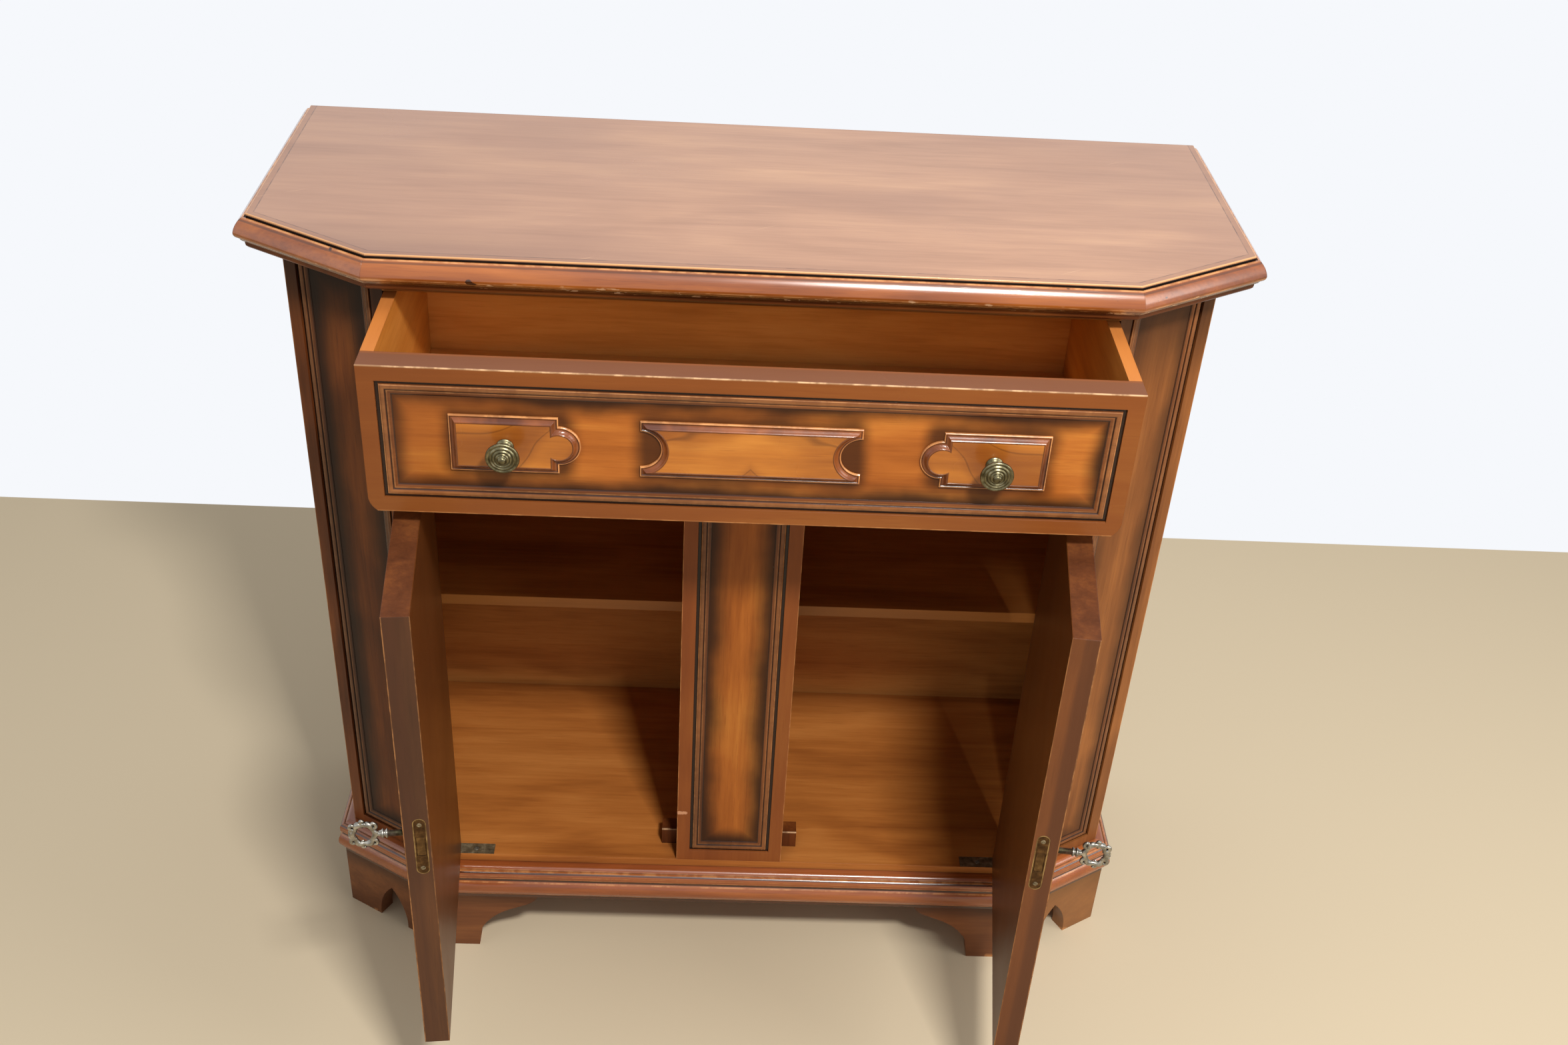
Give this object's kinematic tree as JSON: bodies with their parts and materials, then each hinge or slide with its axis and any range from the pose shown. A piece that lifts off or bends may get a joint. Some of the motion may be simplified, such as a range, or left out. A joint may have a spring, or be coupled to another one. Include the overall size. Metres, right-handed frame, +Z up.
{
  "type": "console cabinet",
  "caption": "Console cabinet with canted front corners, moulded top and base, bracket feet, a wide drawer with brass knobs, and locking doors over a shelf.",
  "frame": {"origin": "middle of the carcass plan, on the floor between the feet", "axes": "+X to the cabinet's own right as seen from the front, -Y out of the front, +Z up"},
  "size_m": [0.968, 0.5914, 0.915],
  "materials": {
    "veneer_top": "polished mahogany veneer with a glossy lacquer",
    "moulding": "red-brown mahogany moulding, high gloss, worn along the edges",
    "dark_moulding": "dark stained wood, satin",
    "carcass": "shaded mahogany veneer, gloss lacquer",
    "frame_moulding": "dark stained mitred moulding, gloss, worn high spots",
    "interior": "stained interior boards, satin",
    "drawer_wood": "warm stained drawer boards, satin",
    "field_veneer": "figured mahogany veneer with shaded edges, gloss",
    "burr_veneer": "book-matched burr veneer, gloss",
    "brass": "bright brass, worn",
    "aged_brass": "antiqued brass, darkened in the hollows",
    "steel": "brushed steel"
  },
  "bodies": {
    "carcass": {"top_panel": "veneer_top", "top_edge_front": "moulding", "top_edge_cants": "moulding", "top_edge_sides": "moulding", "bed_moulding_front": "dark_moulding", "bed_moulding_cants": "dark_moulding", "bed_moulding_sides": "dark_moulding", "side_left": "carcass", "side_right": "carcass", "cant_post_left": "carcass", "cant_post_right": "carcass", "cant_frames": "frame_moulding", "back_panel": "interior", "top_rail": "carcass", "floor_board": "interior", "dust_board": "interior", "centre_column": "carcass", "column_frame": "frame_moulding", "centre_partition": "interior", "shelves": "interior", "shelf_battens": "interior", "drawer_guides": "drawer_wood", "drawer_kickers": "drawer_wood", "drawer_stops": "drawer_wood", "base_front_rail": "interior", "base_rear_rail": "carcass", "base_moulding_front": "moulding", "base_moulding_cants": "moulding", "base_moulding_sides": "moulding", "feet_front": "carcass", "feet_cant": "carcass", "feet_side": "carcass", "feet_rear": "carcass", "foot_blocks": "drawer_wood", "hinge_leaves_carcass": "brass", "strikes": "brass", "door_stops": "carcass"},
    "drawer": {"drawer_front": "field_veneer", "drawer_front_frame": "frame_moulding", "drawer_side_left": "drawer_wood", "drawer_side_right": "drawer_wood", "drawer_back": "drawer_wood", "drawer_bottom": "drawer_wood", "drawer_applique_centre": "burr_veneer", "drawer_appliques_end": "burr_veneer", "drawer_knobs": "aged_brass"},
    "door_left": {"door_panel_left": "field_veneer", "door_frame_left": "frame_moulding", "hinge_leaves_left": "brass", "lock_case_left": "brass", "escutcheon_left": "aged_brass"},
    "door_right": {"door_panel_right": "field_veneer", "door_frame_right": "frame_moulding", "hinge_leaves_right": "brass", "lock_case_right": "brass", "escutcheon_right": "aged_brass"},
    "bolt_left": {"lock_bolt_left": "steel"},
    "bolt_right": {"lock_bolt_right": "steel"},
    "key_left": {"key_left": "aged_brass"},
    "key_right": {"key_right": "aged_brass"}
  },
  "joints": [
    {"name": "drawer_slide", "type": "slide", "parent": "carcass", "child": "drawer", "axis": [0, -1, 0], "range_m": [-0.136, 0.094]},
    {"name": "door_left_hinge", "type": "hinge", "parent": "carcass", "child": "door_left", "pos_m": [-0.334, -0.156, 0.419], "axis": [0, 0, -1], "range_deg": [-84.15, 35.85]},
    {"name": "door_right_hinge", "type": "hinge", "parent": "carcass", "child": "door_right", "pos_m": [0.334, -0.156, 0.419], "axis": [0, 0, 1], "range_deg": [-83.3, 36.7]},
    {"name": "key_left_turn", "type": "hinge", "parent": "door_left", "child": "key_left", "pos_m": [-0.31135, -0.4065, 0.424], "axis": [-0.9948, -0.1019, 0], "range_deg": [0, 180]},
    {"name": "bolt_left_slide", "type": "slide", "parent": "door_left", "child": "bolt_left", "axis": [0.1019, -0.9948, 0], "range_m": [0, 0.007]},
    {"name": "key_right_turn", "type": "hinge", "parent": "door_right", "child": "key_right", "pos_m": [0.30764, -0.40613, 0.424], "axis": [0.9932, -0.1167, 0], "range_deg": [0, 180]},
    {"name": "bolt_right_slide", "type": "slide", "parent": "door_right", "child": "bolt_right", "axis": [-0.1167, -0.9932, 0], "range_m": [0, 0.007]}
  ],
  "couplings": [
    {"joint": "bolt_left_slide", "follows": "key_left_turn", "m_per_rad": 0.0022282},
    {"joint": "bolt_right_slide", "follows": "key_right_turn", "m_per_rad": 0.0022282}
  ]
}
